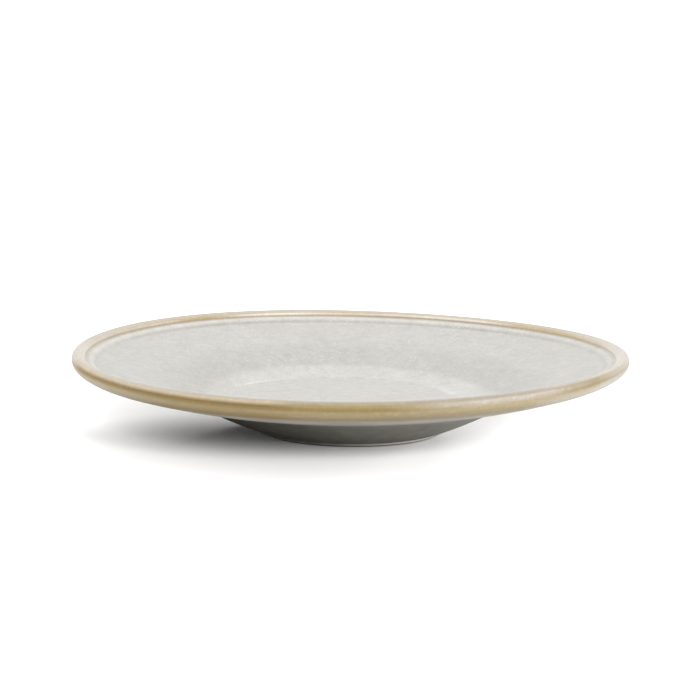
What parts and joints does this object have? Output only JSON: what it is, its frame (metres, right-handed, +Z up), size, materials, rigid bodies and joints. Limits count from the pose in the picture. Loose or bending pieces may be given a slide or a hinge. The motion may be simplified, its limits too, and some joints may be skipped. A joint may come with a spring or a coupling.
{
  "type": "serving dish",
  "caption": "Round stoneware serving dish with a rolled rim bead, a wide sloping flange, a shallow well and a low foot ring, for presenting and serving food.",
  "frame": {"origin": "on the axis of turning, in the plane of the table that the foot ring stands on", "axes": "+Z up along the axis of turning; the picture looks along +Y, with +X to the right"},
  "size_m": [0.28, 0.28, 0.04],
  "materials": {
    "fired_clay": "bare fired stoneware, matte and slightly gritty",
    "face_glaze": "satin warm grey glaze with fine pale speckles",
    "rim_glaze": "glossy ochre glaze that breaks pale on the crest",
    "underside_glaze": "satin grey glaze, browner under the rim",
    "base_glaze": "satin grey glaze inside the foot ring"
  },
  "bodies": {
    "root": {"stoneware_body": "fired_clay", "face_glaze": "face_glaze", "rim_glaze": "rim_glaze", "underside_glaze": "underside_glaze", "base_glaze": "base_glaze"}
  },
  "joints": []
}
